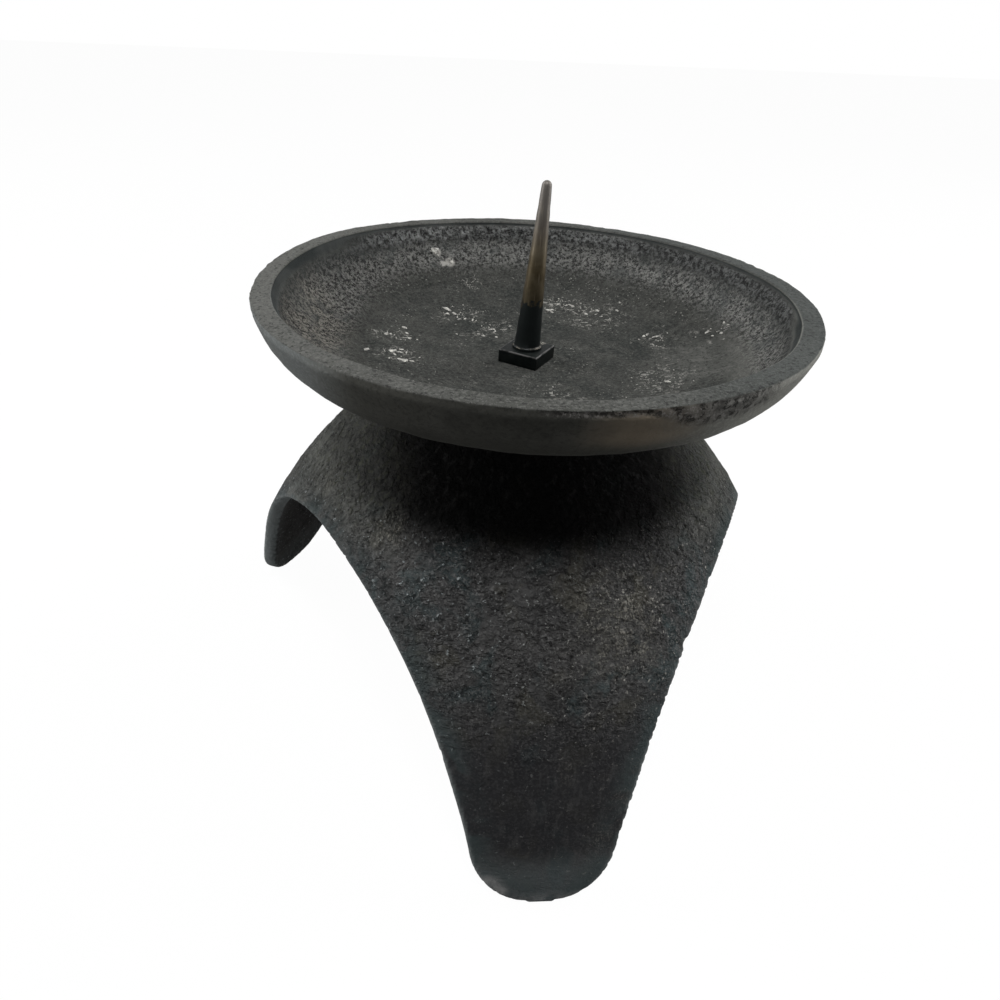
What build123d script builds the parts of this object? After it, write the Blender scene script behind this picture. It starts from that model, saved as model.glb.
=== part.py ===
from build123d import *
import os
from math import asin, atan2, cos, degrees, hypot, radians, sin, tan

# Pricket candle stand: a cast tripod, a cast drip dish and a spike that bolts them together.
# Millimetres. The origin is on the axis where the feet meet the table, +Z is up,
# and one leg points along -Y.

# Whole stand
seat_height = 86.2          # top of the tripod's crown, where the dish sits
seat_radius = 30.5          # flat seat shared by the crown and the dish
overrun = 4.0               # how far cutting shapes run past what they cut

# Tripod
leg_count = 3
foot_radius = 81.7          # outside of the feet, from the axis
wall = 3.8                  # thickness of the cast shell
crown_thickness = 5.0
shoulder_reach = 18.6       # how far the flank runs out from the crown before it turns down
shoulder_drop = 17.9        # and how far it falls over that reach
leg_splay = 11.5            # how far the lower leg leans out
leg_run = 54.0              # height over which it leans
arch_height = 62.1          # top of the arch between two legs
ankle_height = 11.4         # where the leg's edge begins to round into the foot
ankle_width = 31.8          # width of a leg there
sole_width = 5.8            # flat of the foot that meets the table
arch_crown_share = 0.432    # how far the top of the arch stays level
arch_waist_share = 0.812    # handle that brings the arch down to the ankle, across
arch_waist_height_share = 0.566
foot_corner_share = 0.47    # handles of the foot's rounded corner
foot_toe_share = 0.455

# Dish
dish_radius = 62.5
rim_width = 4.7
rim_land = 1.6              # upright outer face of the rim
rim_round = 1.2
dish_depth = 18.2           # from the rim down to the floor
dish_base = 4.6             # thickness of the floor over the seat
floor_radius = 18.8         # flat middle of the floor
outer_belly_shares = (0.871, 0.308)     # handles of the outside: out from the seat, up to the rim
outer_turn_shares = (0.641, 0.396)
inner_belly_shares = (0.912, 0.30)      # handles of the inside: out from the flat floor, up
inner_turn_share = 0.512

# Spike and its stud
stud_diameter = 6.0
bolt_hole_clearance = 0.3   # gap round the stud in the two castings
thread_clearance = 0.05     # gap round the stud in the threaded pieces
spike_base_diameter = 6.1
spike_tip_diameter = 2.2
spike_length = 37.5         # above the square nut
collar_diameter = 7.0
collar_height = 0.8
stud_tail = 8.0             # thread left free below the hex nut
stud_lead = 0.8             # chamfer on the end of the stud

# Square nut under the spike
square_side = 10.0
square_height = 3.2
square_edge = 0.35
square_turn = -34.0         # how the square stands to the legs, degrees

# Washer and hex nut under the crown
washer_diameter = 12.0
washer_height = 1.6
washer_clearance = 0.2
nut_across_flats = 10.0
nut_height = 5.0
nut_sides = 6
nut_chamfer_angle = 30.0    # degrees

# Heights that follow from the sizes above
floor_height = seat_height + dish_base
rim_height = floor_height + dish_depth
square_top = floor_height + square_height
tip_height = square_top + spike_length
crown_underside = seat_height - crown_thickness
washer_underside = crown_underside - washer_height
nut_underside = washer_underside - nut_height
stud_end = nut_underside - stud_tail


def lathe(edges):
    """Turn a closed half outline, drawn as radius and height, about the stand's axis."""
    return revolve(Plane.XZ * make_face(edges), Axis.Z)


def upright_hole(radius, low, high):
    """A round cutter on the axis that runs past both of the heights it is given."""
    length = high - low + 2 * overrun
    return Pos(0, 0, (low + high) / 2) * Cylinder(radius, length)


def shifted(point, towards, distance):
    """A point moved square to a direction, to its inner side."""
    length = hypot(towards[0], towards[1])
    return (
        point[0] + distance * towards[1] / length,
        point[1] - distance * towards[0] / length,
    )


def shell_handles():
    """The four handles of the shell's outside, from the edge of the crown to the foot."""
    crown_edge = (seat_radius, seat_height)
    shoulder = (seat_radius + shoulder_reach, seat_height - shoulder_drop)
    shin = (foot_radius - leg_splay, leg_run)
    foot = (foot_radius, 0)
    return [crown_edge, shoulder, shin, foot]


def hollow_handles():
    """The same four handles, moved inwards by the wall."""
    outside = shell_handles()
    inside = []
    for index, point in enumerate(outside):
        before = outside[max(index - 1, 0)]
        after = outside[min(index + 1, len(outside) - 1)]
        along = (after[0] - before[0], after[1] - before[1])
        inside.append(shifted(point, along, wall))
    return inside


def bell(handles):
    """A solid bell: the space under a curve, from the axis out, and a little below the table."""
    top = handles[0]
    foot = handles[-1]
    return lathe(
        [
            Line((0, top[1]), top),
            Bezier(*handles),
            Line(foot, (foot[0], -overrun)),
            Line((foot[0], -overrun), (0, -overrun)),
            Line((0, -overrun), (0, top[1])),
        ]
    )


def half_angle(width):
    """Half of the angle that a width on the foot circle takes up, seen from the axis."""
    return degrees(asin(width / 2 / foot_radius))


def arch_outline(distance):
    """The gap between two legs, as a face square to its direction at a distance from the axis."""
    half_pitch = 180 / leg_count
    ankle_gap = distance * tan(radians(half_pitch - half_angle(ankle_width)))
    sole_gap = distance * tan(radians(half_pitch - half_angle(sole_width)))
    waist_height = ankle_height + arch_waist_height_share * (arch_height - ankle_height)
    # the ankle's handle carries the arch's own slope on, so that the edge runs smooth
    corner_height = ankle_height * foot_corner_share
    slope = (1 - arch_waist_share) * ankle_gap / (waist_height - ankle_height)
    corner_gap = ankle_gap + slope * (ankle_height - corner_height)
    toe_gap = ankle_gap + foot_toe_share * (sole_gap - ankle_gap)
    edges = []
    for side in (1, -1):
        edges.append(
            Bezier(
                (0, arch_height),
                (side * arch_crown_share * ankle_gap, arch_height),
                (side * arch_waist_share * ankle_gap, waist_height),
                (side * ankle_gap, ankle_height),
            )
        )
        edges.append(
            Bezier(
                (side * ankle_gap, ankle_height),
                (side * corner_gap, corner_height),
                (side * toe_gap, 0),
                (side * sole_gap, 0),
            )
        )
        edges.append(Line((side * sole_gap, 0), (side * sole_gap, -2 * overrun)))
    edges.append(Line((-sole_gap, -2 * overrun), (sole_gap, -2 * overrun)))
    return Plane.YZ.offset(distance) * make_face(edges)


def make_tripod_base():
    shell = bell(shell_handles())
    below_crown = Pos(0, 0, crown_underside) * Cylinder(
        foot_radius, seat_height + overrun, align=(Align.CENTER, Align.CENTER, Align.MAX)
    )
    shell -= bell(hollow_handles()) & below_crown
    under_table = Cylinder(
        foot_radius + overrun, 2 * overrun, align=(Align.CENTER, Align.CENTER, Align.MAX)
    )
    shell -= under_table
    gap = loft([arch_outline(overrun), arch_outline(foot_radius + overrun)], ruled=True)
    pitch = 360 / leg_count
    for leg in range(leg_count):
        shell -= Rot(0, 0, pitch * leg + 90) * gap
    hole_radius = stud_diameter / 2 + bolt_hole_clearance
    return shell - upright_hole(hole_radius, crown_underside, seat_height)


def make_drip_dish():
    inner_rim = dish_radius - rim_width
    wall_run = dish_radius - seat_radius
    rim_foot = (dish_radius, rim_height - rim_land)
    dish_height = rim_foot[1] - seat_height
    floor_run = inner_rim - floor_radius
    outer_turn = (
        seat_radius + outer_turn_shares[0] * wall_run,
        seat_height + outer_turn_shares[1] * dish_height,
    )
    outer_belly = (
        seat_radius + outer_belly_shares[0] * wall_run,
        seat_height + outer_belly_shares[1] * dish_height,
    )
    inner_belly = (
        floor_radius + inner_belly_shares[0] * floor_run,
        floor_height + inner_belly_shares[1] * dish_depth,
    )
    inner_turn = (floor_radius + inner_turn_share * floor_run, floor_height)
    dish = lathe(
        [
            Line((0, seat_height), (seat_radius, seat_height)),
            Bezier((seat_radius, seat_height), outer_turn, outer_belly, rim_foot),
            Line(rim_foot, (dish_radius, rim_height)),
            Line((dish_radius, rim_height), (inner_rim, rim_height)),
            Bezier((inner_rim, rim_height), inner_belly, inner_turn, (floor_radius, floor_height)),
            Line((floor_radius, floor_height), (0, floor_height)),
            Line((0, floor_height), (0, seat_height)),
        ]
    )
    rim_edges = dish.edges().filter_by(GeomType.CIRCLE).group_by(Axis.Z)[-1]
    dish = fillet(rim_edges, rim_round)
    hole_radius = stud_diameter / 2 + bolt_hole_clearance
    return dish - upright_hole(hole_radius, seat_height, floor_height)


def make_pricket_spike():
    stud_radius = stud_diameter / 2
    tip_radius = spike_tip_diameter / 2
    base_radius = spike_base_diameter / 2
    collar_radius = collar_diameter / 2
    collar_top = square_top + collar_height
    # the round tip meets the cone where the cone's side is tangent to it
    lean = atan2(base_radius - tip_radius, tip_height - collar_top)
    tip_centre = tip_height - tip_radius
    tangent_point = (tip_radius * cos(lean), tip_centre + tip_radius * sin(lean))
    middle = (radians(90) + lean) / 2
    arc_point = (tip_radius * cos(middle), tip_centre + tip_radius * sin(middle))
    return lathe(
        [
            Line((0, stud_end), (stud_radius - stud_lead, stud_end)),
            Line((stud_radius - stud_lead, stud_end), (stud_radius, stud_end + stud_lead)),
            Line((stud_radius, stud_end + stud_lead), (stud_radius, square_top)),
            Line((stud_radius, square_top), (collar_radius, square_top)),
            Line((collar_radius, square_top), (collar_radius, collar_top)),
            Line((collar_radius, collar_top), (base_radius, collar_top)),
            Line((base_radius, collar_top), tangent_point),
            ThreePointArc(tangent_point, arc_point, (0, tip_height)),
            Line((0, tip_height), (0, stud_end)),
        ]
    )


def make_square_nut():
    block = Pos(0, 0, floor_height) * Box(
        square_side, square_side, square_height, align=(Align.CENTER, Align.CENTER, Align.MIN)
    )
    block = chamfer(block.faces().sort_by(Axis.Z)[-1].edges(), square_edge)
    hole_radius = stud_diameter / 2 + thread_clearance
    block -= upright_hole(hole_radius, floor_height, square_top)
    return Rot(0, 0, square_turn) * block


def make_flat_washer():
    disc = Pos(0, 0, washer_underside) * Cylinder(
        washer_diameter / 2, washer_height, align=(Align.CENTER, Align.CENTER, Align.MIN)
    )
    hole_radius = stud_diameter / 2 + washer_clearance
    return disc - upright_hole(hole_radius, washer_underside, crown_underside)


def make_clamp_nut():
    flat_radius = nut_across_flats / 2
    corner_radius = flat_radius / cos(radians(180 / nut_sides))
    prism = Pos(0, 0, nut_underside) * extrude(
        RegularPolygon(corner_radius, nut_sides), nut_height
    )
    # both ends are turned to a cone that takes the corners off down to the flats
    bevel = (corner_radius - flat_radius) * tan(radians(nut_chamfer_angle))
    turned = lathe(
        [
            Line((0, nut_underside), (flat_radius, nut_underside)),
            Line((flat_radius, nut_underside), (corner_radius, nut_underside + bevel)),
            Line((corner_radius, nut_underside + bevel), (corner_radius, washer_underside - bevel)),
            Line((corner_radius, washer_underside - bevel), (flat_radius, washer_underside)),
            Line((flat_radius, washer_underside), (0, washer_underside)),
            Line((0, washer_underside), (0, nut_underside)),
        ]
    )
    hole_radius = stud_diameter / 2 + thread_clearance
    return (prism & turned) - upright_hole(hole_radius, nut_underside, washer_underside)


pieces = {
    "tripod_base": make_tripod_base(),
    "drip_dish": make_drip_dish(),
    "pricket_spike": make_pricket_spike(),
    "square_nut": make_square_nut(),
    "flat_washer": make_flat_washer(),
    "clamp_nut": make_clamp_nut(),
}

os.makedirs("parts", exist_ok=True)
for name, piece in pieces.items():
    export_step(piece, f"parts/{name}.step")
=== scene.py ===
import bpy
import math
import random
import numpy as np
from mathutils import Matrix, Vector, kdtree


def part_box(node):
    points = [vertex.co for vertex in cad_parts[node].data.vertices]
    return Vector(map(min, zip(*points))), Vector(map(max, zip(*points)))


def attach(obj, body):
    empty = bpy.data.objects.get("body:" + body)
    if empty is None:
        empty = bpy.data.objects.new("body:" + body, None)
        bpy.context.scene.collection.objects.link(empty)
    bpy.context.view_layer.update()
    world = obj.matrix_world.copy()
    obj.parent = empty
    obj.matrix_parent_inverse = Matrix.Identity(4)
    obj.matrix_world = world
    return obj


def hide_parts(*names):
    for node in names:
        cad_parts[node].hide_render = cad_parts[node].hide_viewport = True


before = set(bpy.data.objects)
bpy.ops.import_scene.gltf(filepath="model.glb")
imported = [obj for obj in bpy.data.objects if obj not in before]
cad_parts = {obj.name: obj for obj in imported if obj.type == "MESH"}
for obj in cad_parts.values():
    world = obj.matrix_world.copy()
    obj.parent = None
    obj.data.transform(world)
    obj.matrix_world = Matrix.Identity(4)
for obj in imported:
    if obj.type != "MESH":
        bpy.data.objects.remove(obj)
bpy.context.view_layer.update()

mm = 0.001
baseLow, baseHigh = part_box("tripod_base")
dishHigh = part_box("drip_dish")[1]
spikeLow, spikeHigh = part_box("pricket_spike")
squareLow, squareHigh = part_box("square_nut")
washerLow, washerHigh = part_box("flat_washer")
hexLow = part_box("clamp_nut")[0]

# Heights and radii that the frame gives, in millimetres
seatHeight = baseHigh.z / mm
footRadius = -baseLow.y / mm
dishRadius = dishHigh.x / mm
rimHeight = dishHigh.z / mm
floorHeight = squareLow.z / mm
squareTop = squareHigh.z / mm
tipHeight = spikeHigh.z / mm
studEnd = spikeLow.z / mm
washerUnder = washerLow.z / mm
crownUnder = washerHigh.z / mm
hexUnder = hexLow.z / mm
seatRadius = 30.5        # flat seat that both castings share
boltHole = 3.3           # radius of the hole for the stud in both castings
mergeWithin = 0.002      # points nearer than this become one


# Modelling helpers

def clearSelection():
    if bpy.context.mode != "OBJECT":
        bpy.ops.object.mode_set(mode="OBJECT")
    bpy.ops.object.select_all(action="DESELECT")


def activate(piece):
    clearSelection()
    piece.select_set(True)
    bpy.context.view_layer.objects.active = piece


def editAll(piece):
    activate(piece)
    bpy.ops.object.mode_set(mode="EDIT")
    bpy.ops.mesh.select_all(action="SELECT")


def startVertex(name, place):        # one vertex in edit mode, ready to extrude
    clearSelection()
    bpy.ops.mesh.primitive_plane_add(size=mm)
    piece = bpy.context.object
    piece.name = name
    piece.data.name = name
    bpy.ops.object.mode_set(mode="EDIT")
    bpy.ops.mesh.select_mode(type="VERT")
    bpy.ops.mesh.select_all(action="SELECT")
    bpy.ops.mesh.merge(type="CENTER")
    bpy.ops.transform.translate(value=place)
    return piece


def extrudeAlong(points):        # points in metres, the first is where the vertex stands
    for here, there in zip(points, points[1:]):
        bpy.ops.mesh.extrude_region_move(TRANSFORM_OT_translate={"value": Vector(there) - Vector(here)})


def cleanMesh(threshold=mergeWithin):
    bpy.ops.mesh.select_all(action="SELECT")
    bpy.ops.mesh.remove_doubles(threshold=threshold * mm)
    bpy.ops.mesh.normals_make_consistent(inside=False)


def drawOutline(name, points):        # a line through points in metres, all selected in edit mode
    piece = startVertex(name, points[0])
    extrudeAlong(points)
    bpy.ops.mesh.select_all(action="SELECT")
    bpy.ops.mesh.remove_doubles(threshold=mergeWithin * mm)
    bpy.ops.mesh.select_all(action="SELECT")
    return piece


def turned(name, outline, steps):        # spin a half outline of radius and height, in millimetres
    piece = drawOutline(name, [(radius * mm, 0, height * mm) for radius, height in outline])
    bpy.ops.mesh.spin(steps=steps, angle=2 * math.pi, center=(0, 0, 0), axis=(0, 0, 1))
    cleanMesh()
    bpy.ops.object.mode_set(mode="OBJECT")
    return piece


def addModifier(piece, kind, **settings):
    modifier = piece.modifiers.new(kind.title(), kind)
    for key, value in settings.items():
        setattr(modifier, key, value)
    return modifier


def applyModifiers(piece):
    activate(piece)
    for modifier in list(piece.modifiers):
        bpy.ops.object.modifier_apply(modifier=modifier.name)


def cutAway(piece, cutter):
    addModifier(piece, "BOOLEAN", object=cutter, operation="DIFFERENCE", solver="EXACT")
    applyModifiers(piece)
    bpy.data.objects.remove(cutter)


def joinPieces(pieces):
    clearSelection()
    for piece in pieces:
        piece.select_set(True)
    bpy.context.view_layer.objects.active = pieces[0]
    bpy.ops.object.join()
    return bpy.context.object


def applyPlace(piece):
    activate(piece)
    bpy.ops.object.transform_apply(location=True, rotation=True, scale=True)


def smoothByAngle(piece, degrees):
    activate(piece)
    bpy.ops.object.shade_smooth_by_angle(angle=math.radians(degrees))


def smoothAll(piece):
    activate(piece)
    bpy.ops.object.shade_smooth()


def bezierPoints(handles, count):
    a, b, c, d = [Vector(handle) for handle in handles]
    points = []
    for index in range(count + 1):
        t = index / count
        s = 1 - t
        points.append(tuple(s * s * s * a + 3 * s * s * t * b + 3 * s * t * t * c + t * t * t * d))
    return points


def radiusAt(points, height):        # where a falling outline crosses a height, or many heights
    radii, heights = zip(*points)
    return np.interp(-height, [-value for value in heights], radii)


def heightAt(points, radius):        # how high an outline that runs outwards is at a radius
    radii, heights = zip(*points)
    return np.interp(radius, radii, heights)


def smoothStep(values, low, high):
    share = np.clip((values - low) / (high - low), 0, 1)
    return share * share * (3 - 2 * share)


def vertexPlaces(piece):        # places in millimetres, one row for each vertex
    places = np.zeros(len(piece.data.vertices) * 3)
    piece.data.vertices.foreach_get("co", places)
    return places.reshape(-1, 3) / mm


def writeGroup(piece, name, weights):
    group = piece.vertex_groups.new(name=name)
    for index in np.nonzero(weights > 0.01)[0]:
        group.add([int(index)], float(weights[index]), "REPLACE")


def writeAttribute(piece, name, values):
    attribute = piece.data.attributes.new(name, "FLOAT", "POINT")
    attribute.data.foreach_set("value", np.ascontiguousarray(values, dtype=np.float32))


def roughen(piece, name, grain, height, depth=2, group="", middle=0.5, basis="ORIGINAL_PERLIN"):
    texture = bpy.data.textures.new(name, "CLOUDS")        # grain and height in millimetres
    texture.noise_scale = grain * mm
    texture.noise_depth = depth
    texture.noise_basis = basis
    addModifier(piece, "DISPLACE", texture=texture, texture_coords="LOCAL", strength=height * mm,
                mid_level=middle, vertex_group=group)
    applyModifiers(piece)


def finishPiece(piece, body, node, material):
    piece.data.materials.clear()
    piece.data.materials.append(material)
    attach(piece, body)
    if node:
        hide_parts(node)
    print("made", piece.name, len(piece.data.polygons), "faces")


# Shader helpers

class Wire:        # one socket, so that shader maths reads as a sum
    def __init__(self, finish, socket):
        self.finish = finish
        self.socket = socket

    def maths(self, operation, first, second):
        return self.finish.node("ShaderNodeMath", {"operation": operation}, {0: first, 1: second})

    def __add__(self, other):
        return self.maths("ADD", self, other)

    def __sub__(self, other):
        return self.maths("SUBTRACT", self, other)

    def __rsub__(self, other):
        return self.maths("SUBTRACT", other, self)

    def __mul__(self, other):
        return self.maths("MULTIPLY", self, other)

    def __abs__(self):
        return self.finish.node("ShaderNodeMath", {"operation": "ABSOLUTE"}, {0: self})

    __radd__ = __add__
    __rmul__ = __mul__


class Finish:        # the node tree of a material, or of the world
    def __init__(self, owner):
        self.owner = owner
        owner.use_nodes = True
        self.tree = owner.node_tree
        self.tree.nodes.clear()

    def node(self, kind, settings, sockets, out=0):
        made = self.tree.nodes.new(kind)
        for key, value in settings.items():
            setattr(made, key, value)
        for key, value in sockets.items():
            socket = made.inputs[key]
            if isinstance(value, Wire):
                self.tree.links.new(value.socket, socket)
            else:
                socket.default_value = value
        return Wire(self, made.outputs[out])

    def places(self, turn=0.0):        # object coordinates in millimetres, turned about the axis
        coords = self.node("ShaderNodeTexCoord", {}, {}, "Object")
        return self.node("ShaderNodeMapping", {}, {"Vector": coords, "Scale": (1 / mm, 1 / mm, 1 / mm),
                                                    "Rotation": (0, 0, turn)})

    def drawn(self, places, across, along):        # a pattern drawn out along Z where along is small
        return self.node("ShaderNodeMapping", {}, {"Vector": places, "Scale": (across, across, along)})

    def noise(self, places, size, detail=2.0, rough=0.5, warp=0.0):        # size of a grain in millimetres
        return self.node("ShaderNodeTexNoise", {"noise_dimensions": "3D"},
                         {"Vector": places, "Scale": 1.0 / size, "Detail": detail, "Roughness": rough,
                          "Distortion": warp}, "Fac")

    def ease(self, value, low, high):
        return self.node("ShaderNodeMapRange", {"interpolation_type": "SMOOTHSTEP"},
                         {"Value": value, "From Min": low, "From Max": high}, "Result")

    def tint(self, share, first, second):
        return self.node("ShaderNodeMix", {"data_type": "RGBA"}, {0: share, 6: first, 7: second}, 2)

    def attribute(self, name):
        return self.node("ShaderNodeAttribute", {"attribute_name": name}, {}, "Fac")

    def axis(self, places, letter):
        return self.node("ShaderNodeSeparateXYZ", {}, {0: places}, letter)

    def spot(self, places, centre, near, far):        # 1 within near of a place, 0 beyond far
        away = self.node("ShaderNodeVectorMath", {"operation": "DISTANCE"}, {0: places, 1: centre}, "Value")
        return self.ease(away, far, near)

    def bump(self, height, distance, strength=1.0):
        return self.node("ShaderNodeBump", {}, {"Height": height, "Distance": distance * mm,
                                                "Strength": strength}, "Normal")

    def surface(self, sockets):
        self.output(self.node("ShaderNodeBsdfPrincipled", {}, sockets))
        return self.owner

    def output(self, shader, kind="ShaderNodeOutputMaterial"):
        made = self.tree.nodes.new(kind)
        self.tree.links.new(shader.socket, made.inputs["Surface"])


def newFinish(name):
    return Finish(bpy.data.materials.new(name))


def grey(level, warm=0.0):
    return (level * (1 + warm), level, level * (1 - warm), 1)


# Tripod casting

tripodShape = dict(
    wall=3.8, shoulderReach=18.6, shoulderDrop=17.9, legSplay=11.5, legRun=54.0,
    archHeight=61.0, ankleHeight=11.4, ankleWidth=32.5, soleWidth=6.2,
    archCrownShare=0.432, archWaistShare=0.812, archWaistHeightShare=0.566,
    footCornerShare=0.47, footToeShare=0.455,
    legAngles=(-89.7, 30.3, 150.3), halfPitch=60,        # half the angle between two legs
    outlineSteps=60, archSteps=32, edgeSteps=160, spinSteps=180, endGap=0.5,
    grain=0.84, rounding=3, edgeBlend=1.1,
    edgeReach=7.5, edgeRounds=4, edgeProbe=0.05, leastSlope=0.3, soleDrop=5.0,        # for trueEdges
    cutterNear=20.0, cutterFar=100.0, cutterDrop=8.0, trueEnds=2.0,
)


def bellHandles():
    shape = tripodShape
    return [
        (seatRadius, seatHeight),
        (seatRadius + shape["shoulderReach"], seatHeight - shape["shoulderDrop"]),
        (footRadius - shape["legSplay"], shape["legRun"]),
        (footRadius, 0),
    ]


def hollowHandles():        # the outside's handles moved in by the wall
    outside = bellHandles()
    inside = []
    for index, point in enumerate(outside):
        before = outside[max(index - 1, 0)]
        after = outside[min(index + 1, len(outside) - 1)]
        along = (Vector(after) - Vector(before)).normalized()
        inside.append((point[0] + tripodShape["wall"] * along.y, point[1] - tripodShape["wall"] * along.x))
    return inside


def bellOutline():
    return bezierPoints(bellHandles(), tripodShape["outlineSteps"])


def hollowOutline():
    return bezierPoints(hollowHandles(), tripodShape["outlineSteps"])


def archSide(steps=tripodShape["archSteps"]):        # half an arch, crown to sole: offset by distance, height
    shape = tripodShape
    halfPitch = math.radians(shape["halfPitch"])
    ankleGap = math.tan(halfPitch - math.asin(shape["ankleWidth"] / 2 / footRadius))
    soleGap = math.tan(halfPitch - math.asin(shape["soleWidth"] / 2 / footRadius))
    archHeight = shape["archHeight"]
    ankleHeight = shape["ankleHeight"]
    waistHeight = ankleHeight + shape["archWaistHeightShare"] * (archHeight - ankleHeight)
    cornerHeight = ankleHeight * shape["footCornerShare"]
    slope = (1 - shape["archWaistShare"]) * ankleGap / (waistHeight - ankleHeight)
    arch = bezierPoints([
        (0, archHeight),
        (shape["archCrownShare"] * ankleGap, archHeight),
        (shape["archWaistShare"] * ankleGap, waistHeight),
        (ankleGap, ankleHeight),
    ], steps)
    foot = bezierPoints([
        (ankleGap, ankleHeight),
        (ankleGap + slope * (ankleHeight - cornerHeight), cornerHeight),
        (ankleGap + shape["footToeShare"] * (soleGap - ankleGap), 0),
        (soleGap, 0),
    ], steps // 2)
    return arch + foot[1:]


def makeArchCutter(angle):        # the gap between two legs, spread out from the axis
    near = tripodShape["cutterNear"] * mm
    far = tripodShape["cutterFar"] * mm
    side = archSide()
    half = side + [(side[-1][0], -tripodShape["cutterDrop"])]
    outline = half + [(-offset, height) for offset, height in reversed(half)]
    points = [(near, offset * near, height * mm) for offset, height in outline]
    cutter = drawOutline("archCutter", points)
    bpy.ops.mesh.edge_face_add()
    bpy.ops.mesh.extrude_region_move(TRANSFORM_OT_translate={"value": (far - near, 0, 0)})
    bpy.ops.transform.resize(value=(1, far / near, 1), center_override=(far, 0, 0))
    cleanMesh()
    bpy.ops.object.mode_set(mode="OBJECT")
    cutter.rotation_euler.z = math.radians(angle)
    applyPlace(cutter)
    return cutter


nickValues = dict(        # knocks on the legs' edges: leg, side, height and radius
    knocks=((0, 1, 50.0, 1.3), (0, 1, 57.5, 1.0), (0, -1, 33.0, 0.8), (1, -1, 22.0, 1.3), (1, 1, 38.0, 1.1),
            (2, -1, 41.0, 1.2), (2, 1, 46.0, 1.0)),
    blend=0.5,
)


def edgePlace(leg, side, height, bell, sides):        # a point on the outer edge of a leg
    offset = radiusAt(sides, height)
    fromLeg = math.radians(tripodShape["halfPitch"]) - math.atan(offset)
    turn = math.radians(tripodShape["legAngles"][leg]) + side * fromLeg
    radius = radiusAt(bell, height)
    return (radius * math.cos(turn), radius * math.sin(turn), height)


def softMaximum(first, second, blend):
    share = np.maximum(blend - np.abs(first - second), 0) / blend
    return np.maximum(first, second) + share * share * blend / 4


def lineAway(across, up, points):        # distance from each place to a line of points
    nearest = np.full(len(up), np.inf)
    for (startOffset, startHeight), (endOffset, endHeight) in zip(points, points[1:]):
        fromX = startOffset * across[1]
        wayX = endOffset * across[1] - fromX
        wayZ = endHeight - startHeight
        share = ((across[0] - fromX) * wayX + (up - startHeight) * wayZ) / (wayX * wayX + wayZ * wayZ + 1e-9)
        share = np.clip(share, 0, 1)
        offX = across[0] - fromX - share * wayX
        offZ = up - startHeight - share * wayZ
        nearest = np.minimum(nearest, np.hypot(offX, offZ))
    return nearest


def gapDepth(places, sides):        # how far a place lies inside the nearest arch, below zero in the iron
    halfPitch = tripodShape["halfPitch"]
    up = places[:, 2]
    radius = np.hypot(places[:, 0], places[:, 1])
    turn = np.degrees(np.arctan2(places[:, 1], places[:, 0]))
    fromGap = np.radians(np.abs((turn - tripodShape["legAngles"][0]) % (2 * halfPitch) - halfPitch))
    line = sides + [(sides[-1][0], -tripodShape["soleDrop"])]
    depth = lineAway((radius * np.sin(fromGap), radius * np.cos(fromGap)), up, line)
    inGap = (up < line[0][1]) & (np.tan(fromGap) < radiusAt(line, up))
    return np.where(inGap, depth, -depth)


def castingAway(places, bell, hollow, sides):        # how far a place near an arch stands out of the casting
    blend = tripodShape["edgeBlend"]
    up = places[:, 2]
    radius = np.hypot(places[:, 0], places[:, 1])
    shells = []
    for outline, sign in ((bell, 1), (hollow, -1)):
        radii = np.array([point[0] for point in outline])
        heights = np.array([point[1] for point in outline])
        slope = np.interp(-up, -heights, np.gradient(radii, heights))
        shells.append(sign * (radius - radiusAt(outline, up)) / np.sqrt(1 + slope * slope))
    away = softMaximum(softMaximum(shells[0], shells[1], blend), gapDepth(places, sides), blend)
    away = softMaximum(away, -up, blend / 2)
    for leg, side, height, size in nickValues["knocks"]:
        middle = np.array(edgePlace(leg, side, height, bell, sides))
        away = softMaximum(away, size - np.linalg.norm(places - middle, axis=1), nickValues["blend"])
    return away


def trueEdges(casting):        # brings the vertices near the arches onto clean, slightly rounded edges
    shape = tripodShape
    outlines = (bellOutline(), hollowOutline(), archSide())
    places = vertexPlaces(casting)
    near = np.nonzero(edgeDistance(places) < shape["edgeReach"])[0]
    spots = places[near]
    probe = shape["edgeProbe"]
    for repeat in range(shape["edgeRounds"]):
        away = castingAway(spots, *outlines)
        slope = [(castingAway(spots + move, *outlines) - away) / probe for move in np.eye(3) * probe]
        slope = np.stack(slope, axis=1)
        steepness = np.maximum((slope * slope).sum(axis=1), shape["leastSlope"])
        spots = spots - slope * (away / steepness)[:, None]
    places[near] = spots
    casting.data.vertices.foreach_set("co", (places * mm).ravel())
    casting.data.update()


def edgeDistance(places):        # from each vertex to the nearest edge of an arch
    bell = bellOutline()
    edgePoints = []
    for offset, height in archSide(tripodShape["edgeSteps"]):
        radius = radiusAt(bell, height)
        for leg in tripodShape["legAngles"]:
            for side in (1, -1):
                turn = math.radians(leg + tripodShape["halfPitch"]) + side * math.atan(offset)
                edgePoints.append((radius * math.cos(turn), radius * math.sin(turn), height))
    tree = kdtree.KDTree(len(edgePoints))
    for index, point in enumerate(edgePoints):
        tree.insert(point, index)
    tree.balance()
    return np.array([tree.find(place)[2] for place in places])


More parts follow.
